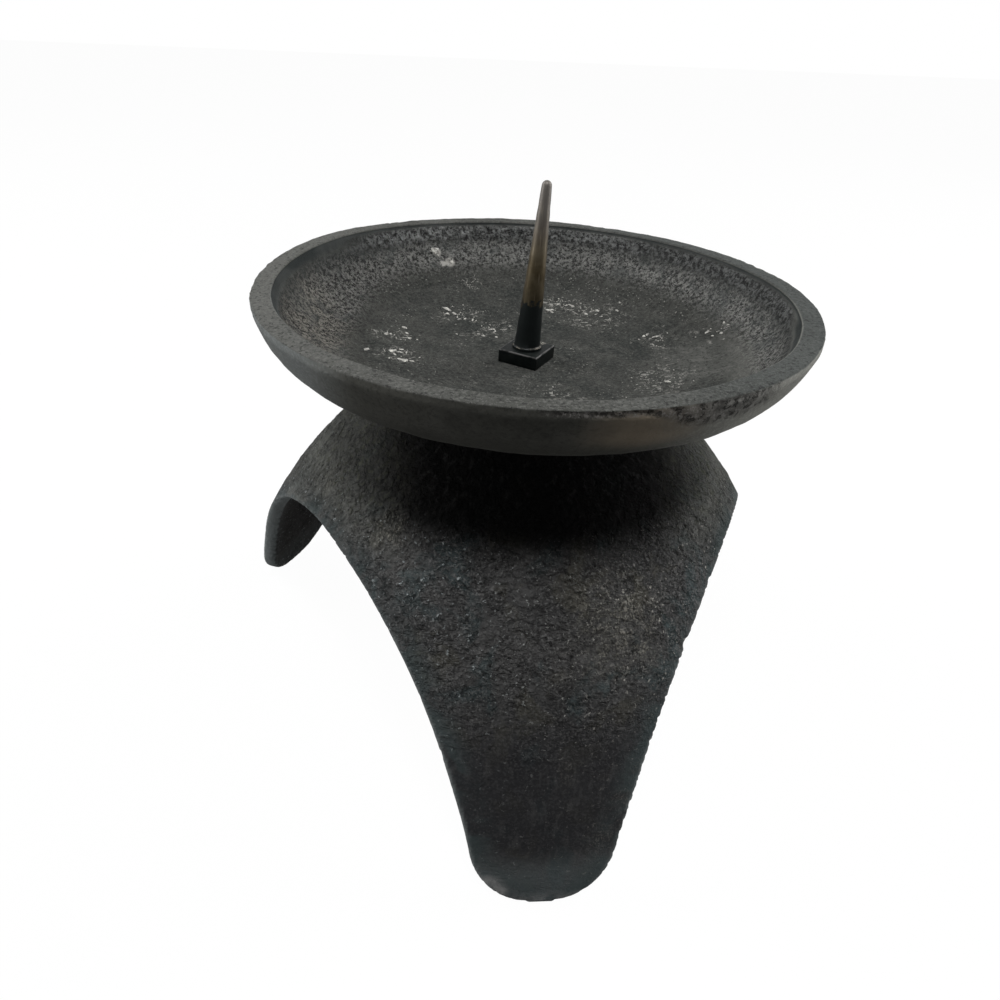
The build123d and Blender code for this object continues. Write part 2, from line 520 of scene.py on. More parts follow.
def makeTripodCasting(material):
    shape = tripodShape
    outside = bellOutline()
    inside = hollowOutline()
    gap = shape["endGap"]
    hollow = [(radiusAt(inside, 0), 0)]
    hollow += [point for point in reversed(inside) if gap < point[1] < crownUnder - gap]
    hollow += [(radiusAt(inside, crownUnder), crownUnder)]
    outline = [(boltHole, seatHeight)] + outside + hollow + [(boltHole, crownUnder), (boltHole, seatHeight)]
    casting = turned("tripod_casting", outline, shape["spinSteps"])
    gaps = [makeArchCutter(leg + shape["halfPitch"]) for leg in shape["legAngles"]]
    cutAway(casting, joinPieces(gaps))
    addModifier(casting, "REMESH", mode="VOXEL", voxel_size=shape["grain"] * mm)
    addModifier(casting, "SMOOTH", factor=0.5, iterations=shape["rounding"])
    applyModifiers(casting)
    trueEdges(casting)
    places = vertexPlaces(casting)
    edge = edgeDistance(places)
    height = places[:, 2]
    radius = np.hypot(places[:, 0], places[:, 1])
    ends = (height < shape["trueEnds"]) | (height > seatHeight - shape["trueEnds"])
    skin = np.where(ends, 0.0, 1.0)        # soles and seat stay true
    outer = radius > radiusAt(outside, height) - shape["wall"] / 2
    upper = smoothStep(height, 30, 50) * (1 - smoothStep(height, 70, 80) * 0.6)
    pitted = skin * np.where(outer, 0.2 + 0.8 * upper, 0.8) * smoothStep(edge, 3.0, 9.0)
    writeGroup(casting, "skin", skin)
    writeGroup(casting, "lumps", skin * smoothStep(edge, 3.0, 10.0))
    writeGroup(casting, "pitted", pitted)
    roughen(casting, "castWave", 26.0, 0.9, 1, "skin")
    roughen(casting, "castLumps", 6.0, 0.5, 2, "lumps")
    roughen(casting, "castPits", 2.1, 0.75, 2, "pitted", basis="IMPROVED_PERLIN")
    cutFace = smoothStep(gapDepth(places, archSide()), -0.6, -0.2) * skin
    pitting = np.where(outer, 0.1 + 0.9 * upper, 0.7) * (0.25 + 0.75 * smoothStep(edge, 0.3, 4.0))
    writeAttribute(casting, "cutFace", cutFace)
    writeAttribute(casting, "edgeBand", (1 - smoothStep(edge, 1.0, 8.0)) * (1 - cutFace))
    writeAttribute(casting, "pitting", pitting)
    writeAttribute(casting, "inside", 1.0 - outer)
    # where a highlight is painted along the arch edges
    writeAttribute(casting, "paintedEdgeHighlight", 1 - smoothStep(edge, 0.4, 1.3))
    smoothAll(casting)
    finishPiece(casting, "stand", "tripod_base", material)
    return casting


baseTints = dict(
    iron=grey(0.045), pale=grey(0.064, 0.01),
    warmFilm=(0.064, 0.061, 0.049, 1), coolFilm=(0.040, 0.057, 0.059, 1),
    shin=(0.019, 0.019, 0.021, 1), foot=(0.080, 0.094, 0.097, 1), flank=(0.120, 0.123, 0.113, 1),
    grains=grey(0.158, 0.01), paintedShadeUnderDish=grey(0.003), streaks=(0.070, 0.074, 0.050, 1), cracks=grey(0.022),
    hollows=grey(0.016), brushed=grey(0.092, 0.01), inside=grey(0.023, 0.06),
    edgeBand=(0.043, 0.056, 0.057, 1),
    cutFace=(0.132, 0.145, 0.145, 1), paintedLightCutFaceLeft=(0.215, 0.236, 0.236, 1), paintedEdgeHighlight=(0.165, 0.180, 0.180, 1),
    tan=(0.300, 0.285, 0.235, 1), wornSole=grey(0.260, 0.01),
    paintedGlintLeft=(0.40, 0.44, 0.45, 1), paintedGlintRight=(0.46, 0.44, 0.40, 1),
)
baseSpots = dict(        # place, full within and gone beyond, in millimetres
    tanFront=((15.0, -56.4, 57.2), 3.0, 15.0), tanLeft=((-32.0, -37.9, 67.8), 1.0, 6.0),
    chip=((-10.8, -80.2, 3.2), 2.6, 5.0),
)


def baseIron():
    finish = newFinish("base_iron")
    tints = baseTints
    at = finish.places()
    edgeBand = finish.attribute("edgeBand")
    pitting = finish.attribute("pitting")
    paintedEdgeHighlight = finish.attribute("paintedEdgeHighlight")
    inside = finish.attribute("inside")
    cutFace = finish.attribute("cutFace")
    height = finish.axis(at, "Z")
    side = finish.axis(at, "X")
    outward = abs(side)
    layered = finish.drawn(at, 0.70, 1.15)
    flakes = finish.ease(finish.noise(layered, 1.5, 4.0, 0.6, 0.6), 0.42, 0.60)
    cracks = finish.noise(layered, 2.3, 4.0, 0.62, 0.9)
    cracks = finish.ease(abs(cracks - 0.5), 0.034, 0.010)
    cracks = cracks * finish.ease(finish.noise(at, 4.5, 3.0, 0.6), 0.42, 0.58)
    grains = finish.ease(finish.noise(at, 0.56, 2.0, 0.6, 0.4), 0.49, 0.61)
    crust = finish.ease(finish.noise(at, 3.4, 4.0, 0.62, 0.6), 0.42, 0.62)
    hollows = finish.ease(finish.noise(at, 1.25, 4.0, 0.72), 0.44, 0.37)
    patches = finish.noise(at, 15.0, 4.0, 0.62, 0.4)
    films = finish.noise(at, 11.0, 3.0, 0.6, 0.6)
    scale = finish.ease(finish.noise(at, 7.0, 3.0, 0.6), 0.38, 0.56)
    brushed = finish.noise(finish.drawn(at, 1.0, 0.10), 1.6, 3.0, 0.6)
    sandy = pitting * (0.45 + scale * 0.55)
    body = finish.tint(finish.ease(patches, 0.36, 0.66), tints["iron"], tints["pale"])
    body = finish.tint(finish.ease(films, 0.54, 0.66) * 0.6, body, tints["warmFilm"])
    body = finish.tint(finish.ease(films, 0.46, 0.34) * 0.6, body, tints["coolFilm"])
    shin = finish.ease(height, 8.0, 16.0) * finish.ease(height, 48.0, 32.0)
    body = finish.tint(shin * 0.8, body, tints["shin"])
    body = finish.tint(finish.ease(height, 14.0, 6.0) * 0.7, body, tints["foot"])
    # painted light: the flanks at the left and right are painted paler, where side light falls
    flank = finish.ease(outward, 22.0, 44.0) * finish.ease(height, 60.0, 68.0)
    flank = flank + finish.ease(outward, 47.0, 56.0) * finish.ease(height, 50.0, 58.0) * 0.8
    body = finish.tint(flank * 0.8, body, tints["flank"])
    body = finish.tint(grains * (0.05 + sandy * 0.45), body, tints["grains"])
    # painted shade: the shoulder under the dish is painted near black, less so where the flanks are painted
    # lit
    body = finish.tint(finish.ease(height, 66.5, 73.0) * (0.96 - flank * 0.54), body, tints["paintedShadeUnderDish"])
    streaks = finish.noise(finish.drawn(at, 1.0, 0.14), 1.3, 3.0, 0.6, 0.3)
    streaks = finish.ease(streaks, 0.50, 0.66) * finish.ease(height, 62.0, 70.0)
    body = finish.tint(streaks * flank * 0.5, body, tints["streaks"])
    body = finish.tint(cracks * (0.04 + sandy * 0.16), body, tints["cracks"])
    body = finish.tint(hollows * (0.1 + sandy * 0.62), body, tints["hollows"])
    body = finish.tint(finish.ease(brushed, 0.50, 0.72) * (1 - pitting) * 0.3, body, tints["brushed"])
    body = finish.tint(edgeBand * finish.ease(films, 0.40, 0.56) * 0.75, body, tints["edgeBand"])
    # painted shade: the inside of the hollow casting is painted darker
    body = finish.tint(inside * 0.7, body, tints["inside"])
    # pale cut faces: partly worn iron, partly painted light
    body = finish.tint(cutFace * (0.7 + crust * 0.25), body, tints["cutFace"])
    # painted light: the left leg's cut face is painted paler still, where light from the left front falls
    body = finish.tint(cutFace * finish.ease(side, -50.0, -60.0) * 0.8, body, tints["paintedLightCutFaceLeft"])
    # painted highlight along the arch edges
    body = finish.tint(paintedEdgeHighlight * finish.ease(patches, 0.40, 0.60) * 0.65, body, tints["paintedEdgeHighlight"])
    tan = finish.spot(at, *baseSpots["tanFront"]) + finish.spot(at, *baseSpots["tanLeft"])
    tan = tan + finish.ease(finish.noise(at, 30.0, 2.0, 0.5), 0.62, 0.74) * 0.7
    body = finish.tint(tan * (0.10 + crust * 0.35) * (0.2 + grains * 0.8), body, tints["tan"])
    soleWear = finish.ease(height, 4.0, 0.0) * finish.ease(finish.noise(at, 5.0, 4.0, 0.65), 0.44, 0.60)
    chip = finish.spot(at, *baseSpots["chip"]) * (0.4 + crust * 0.6)
    body = finish.tint(soleWear * 0.5 + chip * 0.7, body, tints["wornSole"])
    # painted highlights: small bright glints, bluish on the left and warm on the right
    paintedGlints = finish.ease(finish.noise(at, 0.9, 3.0, 0.65), 0.64, 0.68) * (0.1 + sandy * 0.9)
    paintedGlints = paintedGlints * finish.ease(height, 74.0, 64.0)
    paintedGlintColour = finish.tint(finish.ease(side, -25.0, 20.0), tints["paintedGlintLeft"], tints["paintedGlintRight"])
    body = finish.tint(paintedGlints * 0.7, body, paintedGlintColour)
    roughness = 0.80 - edgeBand * 0.18
    relief = flakes * (0.04 + sandy) + grains * (0.04 + sandy * 0.22)
    relief = relief - cracks * sandy * 0.2 - hollows * sandy * 0.6
    relief = relief + crust * sandy * 0.8 + brushed * (1 - pitting) * 0.2
    return finish.surface({"Base Color": body, "Roughness": roughness, "Specular IOR Level": 0.02,
                           "Normal": finish.bump(relief, 0.62)})


# Drip dish casting

dishShape = dict(
    rimWidth=4.7, rimLand=1.6, outerEdge=0.4, innerEdge=0.7, flatFloor=18.8,
    outerBelly=(0.871, 0.352), outerTurn=(0.641, 0.426), innerBelly=(0.912, 0.30), innerTurn=0.512,
    outsideSteps=60, insideSteps=66, cornerSteps=4, spinSteps=480,
    lifts=((140, 30, 0.8),), swell=(0, 14, 0.6),        # bearing, width and height of each
    chips=((-73, 7), (-104, 3), (-131, 5), (168, 4), (122, 5), (64, 4), (17, 6), (-38, 4)),
    backArc=(36, 52, 128, 146), rightArc=(-22, -8, 40, 54), corrodedArc=(-98, -92, -62, -50),
    roughSide=(122, 164), edgeDropSide=(-81, -70), squareClear=9,
)


def dishOutside():
    shape = dishShape
    run = dishRadius - seatRadius
    top = (dishRadius, rimHeight - shape["rimLand"])
    rise = top[1] - seatHeight
    return bezierPoints([
        (seatRadius, seatHeight),
        (seatRadius + shape["outerTurn"][0] * run, seatHeight + shape["outerTurn"][1] * rise),
        (seatRadius + shape["outerBelly"][0] * run, seatHeight + shape["outerBelly"][1] * rise),
        top,
    ], shape["outsideSteps"])


def dishInside():
    shape = dishShape
    innerRim = dishRadius - shape["rimWidth"]
    run = innerRim - shape["flatFloor"]
    depth = rimHeight - floorHeight
    return bezierPoints([
        (innerRim, rimHeight),
        (shape["flatFloor"] + shape["innerBelly"][0] * run, floorHeight + shape["innerBelly"][1] * depth),
        (shape["flatFloor"] + shape["innerTurn"] * run, floorHeight),
        (shape["flatFloor"], floorHeight),
    ], shape["insideSteps"])


def rimCorner(corner, radius, before, after):        # a quarter round between two directions
    hub = Vector(corner) - Vector(before) * radius + Vector(after) * radius
    points = []
    steps = dishShape["cornerSteps"]
    for index in range(steps + 1):
        turn = index / steps * math.pi / 2
        spoke = Vector(before) * math.sin(turn) - Vector(after) * math.cos(turn)
        points.append(tuple(hub + spoke * radius))
    return points


def linePoints(start, end, count):        # even steps between two points, without the ends
    return [tuple(Vector(start).lerp(Vector(end), index / count)) for index in range(1, count)]


def dishOutline():
    shape = dishShape
    inside = dishInside()
    outside = dishOutside()
    innerRim = dishRadius - shape["rimWidth"]
    outerCorner = rimCorner((dishRadius, rimHeight), shape["outerEdge"], (0, 1), (-1, 0))
    innerCorner = rimCorner((innerRim, rimHeight), shape["innerEdge"], (-1, 0), (0, -1))
    lowerInside = [point for point in inside if point[1] < rimHeight - shape["innerEdge"] - 0.1]
    outline = [(boltHole, seatHeight)] + linePoints((boltHole, seatHeight), outside[0], 6) + outside
    outline += linePoints(outside[-1], outerCorner[0], 3) + outerCorner
    outline += linePoints(outerCorner[-1], innerCorner[0], 6) + innerCorner + lowerInside
    outline += linePoints(inside[-1], (boltHole, floorHeight), 14)
    return outline + [(boltHole, floorHeight), (boltHole, seatHeight)]


def arcShare(angle, arc):        # rises over the first two bearings and falls over the last two
    return smoothStep(angle, arc[0], arc[1]) * (1 - smoothStep(angle, arc[2], arc[3]))


def dishZones(places, angle):        # how much each vertex belongs to each part of the surface
    shape = dishShape
    radius = np.hypot(places[:, 0], places[:, 1])
    height = places[:, 2]
    innerRim = dishRadius - shape["rimWidth"]
    middle = (heightAt(dishInside()[::-1], radius) + heightAt(dishOutside(), radius)) / 2
    inner = (height > middle) & (radius < innerRim + 0.2)
    rim = smoothStep(radius, innerRim - 0.1, innerRim + 0.5)
    rim = rim * smoothStep(height, rimHeight - 0.42, rimHeight - 0.12)
    rimEdge = smoothStep(radius, dishRadius - 2.0, dishRadius - 0.6)
    rimEdge = rimEdge * smoothStep(height, rimHeight - 1.6, rimHeight - 0.7)
    left = smoothStep(np.abs(angle), *shape["roughSide"])        # the rough skin reaches further down there
    rough = smoothStep(height, floorHeight + 4.0 - 2.6 * left, floorHeight + 10.0 - 4.5 * left)
    outer = np.where(inner | (radius < innerRim + 1.0) & (height > rimHeight - 3), 0.0, 1 - rim)
    seat = (height < seatHeight + 1.5) | ((radius < shape["squareClear"]) & inner)
    crumbs = smoothStep(height, rimHeight - 5.5, rimHeight - 3.2)
    crumbs = crumbs * (1 - smoothStep(height, rimHeight - 1.5, rimHeight - 0.7))
    crumbs = np.maximum(arcShare(angle, shape["backArc"]), arcShare(angle, shape["rightArc"])) * crumbs
    clumps = np.where(inner, crumbs, 0.0)
    lip = np.where(inner, smoothStep(height, rimHeight - 3.6, rimHeight - 1.8), 0.0) * (1 - rim)
    lip = lip * (1 - np.minimum(clumps * 1.5, 1))
    drop = 1.0 + 4.2 * smoothStep(angle, *shape["edgeDropSide"])
    edgeHeights = smoothStep(height, rimHeight - 0.6 - drop, rimHeight - 0.4 - drop * 0.6)
    edgeHeights = edgeHeights * (1 - smoothStep(height, rimHeight - 0.5, rimHeight))
    corroded = arcShare(angle, shape["corrodedArc"]) * edgeHeights
    corroded = np.where(radius > dishRadius - 2.5, corroded, 0.0) * (1 - rim)
    return dict(
        rim=rim, rimEdge=rimEdge, lip=lip, clumps=clumps, corroded=corroded, outer=outer,
        wall=np.where(inner, rough, 0.0) * (1 - rim), floor=np.where(inner, 1 - rough, 0.0),
        free=np.where(seat, 0.0, 1.0),
    )


def makeDripDish(material):
    shape = dishShape
    dish = turned("drip_dish_casting", dishOutline(), shape["spinSteps"])
    places = vertexPlaces(dish)
    angle = np.degrees(np.arctan2(places[:, 1], places[:, 0]))
    zones = dishZones(places, angle)
    upper = smoothStep(places[:, 2], rimHeight - 9, rimHeight - 1)
    for middle, width, lift in shape["lifts"]:
        places[:, 2] += lift * np.exp(-((angle - middle) / width) ** 2) * upper
    middle, width, swell = shape["swell"]
    places[:, :2] *= (1 + swell / dishRadius * np.exp(-((angle - middle) / width) ** 2) * upper)[:, None]
    dish.data.vertices.foreach_set("co", (places * mm).ravel())
    chipped = sum(np.exp(-((angle - middle) / width) ** 2) for middle, width in shape["chips"])
    writeGroup(dish, "free", zones["free"])
    writeGroup(dish, "wall", zones["wall"] * zones["free"] * (1 - zones["lip"]))
    writeGroup(dish, "clumps", zones["clumps"])
    writeGroup(dish, "outer", zones["outer"] * zones["free"])
    writeGroup(dish, "corroded", zones["corroded"])
    writeGroup(dish, "rimEdge", zones["rimEdge"] * (0.3 + 0.7 * np.minimum(chipped, 1)))
    roughen(dish, "rimWave", 30.0, 0.8, 1, "free")
    roughen(dish, "dishLumps", 7.0, 0.35, 2, "free")
    roughen(dish, "wallGrain", 1.9, 0.5, 2, "wall", basis="IMPROVED_PERLIN")
    roughen(dish, "rimClumps", 2.6, 2.2, 3, "clumps", 0.42)
    roughen(dish, "edgeRot", 2.2, 1.5, 3, "corroded", 0.62)
    roughen(dish, "outerPits", 4.0, 0.3, 2, "outer", basis="IMPROVED_PERLIN")
    roughen(dish, "rimChips", 2.3, 0.95, 2, "rimEdge", 0.62, basis="IMPROVED_PERLIN")
    for name, zone in (("rimWear", "rim"), ("wallSkin", "wall"), ("floorSkin", "floor"),
                       ("clumpSkin", "clumps"), ("lipSkin", "lip"), ("rotSkin", "corroded")):
        writeAttribute(dish, name, zones[zone])
    smoothAll(dish)
    finishPiece(dish, "stand", "drip_dish", material)
    return dish


waxValues = dict(        # clusters of old wax: place, spread, flakes and largest flake, in millimetres
    clusters=(
        ((-20.4, 50.2), 1.2, 7, 2.0), ((-16.6, 49.1), 1.5, 8, 1.8), ((-11.0, 43.6), 4.0, 8, 1.0),
        ((-14.5, 27.6), 5.0, 18, 1.5), ((-30.5, 11.9), 4.5, 12, 1.2), ((-31.0, 0.0), 5.0, 20, 1.5),
        ((14.5, 33.0), 6.0, 14, 1.0), ((34.2, 9.7), 4.5, 12, 1.2), ((47.4, 5.7), 4.0, 12, 1.3),
        ((30.2, -13.3), 7.0, 9, 1.0), ((-7.1, 18.9), 5.5, 14, 1.3), ((4.0, -18.0), 4.0, 5, 0.8),
        ((-24.0, -26.0), 4.0, 5, 0.8), ((22.0, 28.0), 8.0, 12, 0.9),
    ),
    pools=((-20.4, 50.2, 1.6), (-16.6, 49.1, 1.9), (-18.6, 48.2, 1.2)),
    corners=12, thickness=0.22, ragged=0.48, topShare=0.7, variants=8, seed=11,
    keepClear=9.5, rimClear=2.5, sink=0.05, probe=0.2, smallShare=0.22, rarity=2.6, flatShare=0.7,
    wander=26.0,
)


def makeWaxFlecks(material):
    values = waxValues
    draw = random.Random(values["seed"])
    shapes = []
    for variant in range(values["variants"]):        # ragged flakes, one unit across
        clearSelection()
        bpy.ops.mesh.primitive_circle_add(vertices=values["corners"], radius=mm, fill_type="NGON")
        bpy.ops.object.mode_set(mode="EDIT")
        bpy.ops.mesh.select_all(action="SELECT")
        bpy.ops.transform.vertex_random(offset=values["ragged"] * mm, seed=values["seed"] + variant)
        bpy.ops.transform.resize(value=(1, 1, 0))
        bpy.ops.mesh.extrude_region_move(TRANSFORM_OT_translate={"value": (0, 0, values["thickness"] * mm)})
        bpy.ops.transform.resize(value=(values["topShare"], values["topShare"], 1))
        bpy.ops.mesh.select_all(action="SELECT")
        bpy.ops.mesh.normals_make_consistent(inside=False)
        bpy.ops.object.mode_set(mode="OBJECT")
        shapes.append(bpy.context.object)
    inside = dishInside()[::-1]
    probe = values["probe"]
    flakes = []
    for centre, spread, count, largest in values["clusters"]:
        for index in range(count):
            x = centre[0] + draw.gauss(0, spread / 2)
            y = centre[1] + draw.gauss(0, spread / 2)
            radius = math.hypot(x, y)
            if radius < values["keepClear"] or radius > inside[-1][0] - values["rimClear"]:
                continue
            z = heightAt(inside, radius) - values["sink"]
            slope = (heightAt(inside, radius + probe) - heightAt(inside, radius - probe)) / (2 * probe)
            tilt = Matrix.Rotation(math.atan2(y, x), 4, "Z") @ Matrix.Rotation(-math.atan(slope), 4, "Y")
            small = values["smallShare"]
            size = largest * (small + (1 - small) * draw.random() ** values["rarity"]) / 2
            spin = Matrix.Rotation(draw.uniform(0, math.pi), 4, "Z")
            length = size * (0.9 + 1.0 * draw.random())
            width = size * (0.4 + 0.6 * draw.random())
            stretch = Matrix.Diagonal((length, width, values["flatShare"], 1))
            flake = draw.choice(shapes).copy()
            flake.data = flake.data.copy()
            bpy.context.scene.collection.objects.link(flake)
            flake.matrix_world = Matrix.Translation((x * mm, y * mm, z * mm)) @ tilt @ spin @ stretch
            flakes.append(flake)
    for shape in shapes:
        bpy.data.objects.remove(shape)
    flecks = joinPieces(flakes)
    flecks.name = "wax_flecks"
    flecks.data.name = "wax_flecks"
    applyPlace(flecks)
    smoothByAngle(flecks, 40)
    finishPiece(flecks, "stand", None, material)
    return flecks


dishTints = dict(
    outer=(0.058, 0.058, 0.052, 1), outerPale=(0.088, 0.088, 0.079, 1), outerGrains=(0.140, 0.139, 0.128, 1),
    outerPits=grey(0.020), paintedBellyShade=(0.028, 0.028, 0.025, 1), tan=(0.175, 0.146, 0.110, 1),
    front=(0.024, 0.024, 0.021, 1), right=(0.300, 0.302, 0.276, 1), left=(0.195, 0.210, 0.210, 1),
    rot=grey(0.085, 0.04), rotHoles=grey(0.022, 0.03), rotGrains=grey(0.240, 0.04),
    wallLeftLit=(grey(0.032), (0.252, 0.240, 0.212, 1)), wallMiddle=(grey(0.026), (0.184, 0.183, 0.172, 1)),
    wallBackLit=(grey(0.038), (0.258, 0.259, 0.245, 1)), wallPatch=(0.085, 0.092, 0.090, 1),
    wallDrift=(0.075, 0.080, 0.078, 1), wallTop=(0.048, 0.051, 0.050, 1), wallPits=grey(0.030),
    crumbs=grey(0.046), crumbsPale=(0.215, 0.222, 0.218, 1), crumbsBack=(0.350, 0.360, 0.352, 1),
    lip=(0.026, 0.029, 0.029, 1), lipPale=(0.044, 0.047, 0.046, 1),
    floor=(0.025, 0.027, 0.0256, 1), floorPale=(0.038, 0.039, 0.0366, 1),
    floorGrains=(0.086, 0.088, 0.082, 1), floorRings=(0.066, 0.067, 0.062, 1),
    floorStains=(0.056, 0.057, 0.051, 1), floorWorn=(0.110, 0.111, 0.103, 1),
    floorPits=grey(0.013), floorScrawls=grey(0.150, 0.03),
    rim=(0.049, 0.050, 0.046, 1), rimPale=(0.073, 0.074, 0.069, 1), rimLeftWornAndSheen=(0.120, 0.121, 0.114, 1),
    rimGrains=(0.138, 0.140, 0.131, 1), rimRight=(0.047, 0.054, 0.054, 1), rimPits=grey(0.022),
    wax=(0.42, 0.41, 0.38, 1),
)
dishSpots = dict(        # place, full within and gone beyond, in millimetres
    tan=((12.0, -60.9, 104.5), 4.0, 15.0), worn=((42.0, -7.0, 94.5), 4.0, 17.0),
)


def dishMarks(finish):        # the patterns that the parts of the dish share
    at = finish.places()
    x = finish.axis(at, "X")
    y = finish.axis(at, "Y")
    flat = finish.node("ShaderNodeCombineXYZ", {}, {"X": x, "Y": y})
    away = finish.node("ShaderNodeVectorMath", {"operation": "LENGTH"}, {0: flat}, "Value")
    bearing = finish.node("ShaderNodeMath", {"operation": "ARCTAN2"}, {0: y, 1: x})
    ringPlaces = finish.node("ShaderNodeCombineXYZ", {}, {"X": away, "Y": bearing * 6.0})
    return dict(
        at=at, x=x, y=y, height=finish.axis(at, "Z"), ringPlaces=ringPlaces,
        grains=finish.ease(finish.noise(at, 0.62, 3.0, 0.7), 0.48, 0.62),
        pits=finish.ease(finish.noise(at, 0.85, 4.0, 0.75), 0.47, 0.40),
        rotHoles=finish.ease(finish.noise(at, 1.5, 4.0, 0.75), 0.48, 0.40),
        stains=finish.ease(finish.noise(at, 6.0, 4.0, 0.62, 0.8), 0.45, 0.60),
        patches=finish.noise(at, 15.0, 4.0, 0.62, 0.5),
        rings=finish.noise(ringPlaces, 1.8, 4.0, 0.62),
        coarseGrain=finish.noise(at, 0.95, 5.0, 0.88),
    )


def dishOuterTone(finish, marks, rot):
    tints = dishTints
    x, y, height, grains = marks["x"], marks["y"], marks["height"], marks["grains"]
    tone = finish.tint(finish.ease(marks["patches"], 0.35, 0.65), tints["outer"], tints["outerPale"])
    tone = finish.tint(grains * 0.14, tone, tints["outerGrains"])
    tone = finish.tint(marks["pits"] * 0.30, tone, tints["outerPits"])
    # painted shade: the outer wall is painted darker towards its down-facing belly
    tone = finish.tint(finish.ease(height, 104.0, 97.0) * 0.65, tone, tints["paintedBellyShade"])
    tan = finish.spot(marks["at"], *dishSpots["tan"]) * finish.ease(height, 98.0, 103.0)
    tan = tan * (0.55 + finish.ease(marks["patches"], 0.40, 0.60) * 0.45)
    tone = finish.tint(tan * 0.85, tone, tints["tan"])
    # painted shade: the outer wall is painted darker at the front
    front = finish.ease(x, -50.0, -34.0) * finish.ease(x, 8.0, -8.0)
    # painted light: the outer wall is painted pale at its left and right ends, standing in for sheen and side
    # light
    right = finish.ease(x, 10.0, 34.0) * finish.ease(y, 10.0, -20.0) * (0.7 + grains * 0.3)
    left = finish.ease(x, -36.0, -50.0) * finish.ease(y, 10.0, -15.0) * (0.7 + grains * 0.3)
    tone = finish.tint(front * 0.42, tone, tints["front"])
    tone = finish.tint(right * 0.85, tone, tints["right"])
    tone = finish.tint(left * 0.75, tone, tints["left"])
    tone = finish.tint(rot * 0.6, tone, tints["rot"])
    tone = finish.tint(rot * marks["rotHoles"] * 0.68, tone, tints["rotHoles"])
    return finish.tint(rot * grains * (1 - marks["rotHoles"]) * 0.5, tone, tints["rotGrains"])


def dishWallTone(finish, marks, clump):
    tints = dishTints
    at = marks["at"]
    sweep = marks["x"] + marks["y"]        # from the front left to the back right
    light = finish.ease(marks["coarseGrain"], 0.45, 0.55)
    # painted light: the inner wall is painted paler at the front left and the back right than in between, for
    # how the lamps fall
    leftTone = finish.tint(light, *tints["wallLeftLit"])
    middleTone = finish.tint(light, *tints["wallMiddle"])
    backTone = finish.tint(light, *tints["wallBackLit"])
    tone = finish.tint(finish.ease(sweep, -15.0, 50.0), middleTone, backTone)
    tone = finish.tint(finish.ease(sweep, -45.0, -22.0), leftTone, tone)
    tone = finish.tint(finish.ease(marks["patches"], 0.52, 0.66) * 0.4, tone, tints["wallPatch"])
    drift = finish.noise(at, 5.0, 3.0, 0.6)
    tone = finish.tint(finish.ease(drift, 0.54, 0.64) * 0.5, tone, tints["wallDrift"])
    backwards = finish.ease(marks["y"], 40.0, 54.0)
    upper = finish.ease(marks["height"], 101.0, 106.5) * (0.75 - backwards * 0.6)
    tone = finish.tint(upper, tone, tints["wallTop"])
    tone = finish.tint(marks["pits"] * 0.35, tone, tints["wallPits"])
    crumbs = finish.ease(finish.noise(at, 1.1, 4.0, 0.8), 0.42, 0.60)
    crumbTone = finish.tint(backwards, tints["crumbsPale"], tints["crumbsBack"])
    crumbTone = finish.tint(crumbs, tints["crumbs"], crumbTone)
    return finish.tint(clump * 0.9, tone, crumbTone)


def dishFloorTone(finish, marks):
    tints = dishTints
    at, stains = marks["at"], marks["stains"]
    scrawls = finish.ease(abs(finish.noise(at, 2.0, 3.0, 0.6, 1.6) - 0.5), 0.016, 0.004)
    tone = finish.tint(finish.ease(marks["patches"], 0.35, 0.65), tints["floor"], tints["floorPale"])
    tone = finish.tint(marks["grains"] * 0.40, tone, tints["floorGrains"])
    tone = finish.tint(finish.ease(marks["rings"], 0.50, 0.66) * 0.5, tone, tints["floorRings"])
    tone = finish.tint(stains * 0.30, tone, tints["floorStains"])
    worn = finish.spot(at, *dishSpots["worn"])
    tone = finish.tint(worn * (0.35 + stains * 0.25), tone, tints["floorWorn"])
    tone = finish.tint(marks["pits"] * 0.6, tone, tints["floorPits"])
    return finish.tint(scrawls * stains * 0.5, tone, tints["floorScrawls"])


def dishRimTone(finish, marks):
    tints = dishTints
    x = marks["x"]
    tone = finish.tint(finish.ease(marks["patches"], 0.30, 0.70), tints["rim"], tints["rimPale"])
    # the rim is paler at the left: partly worn, partly painted sheen
    tone = finish.tint(finish.ease(x, -30.0, -58.0) * 0.5, tone, tints["rimLeftWornAndSheen"])
    tone = finish.tint(marks["grains"] * 0.50, tone, tints["rimGrains"])
    tone = finish.tint(finish.ease(x, 0.0, 45.0) * 0.50, tone, tints["rimRight"])
    return finish.tint(marks["pits"] * 0.70, tone, tints["rimPits"])


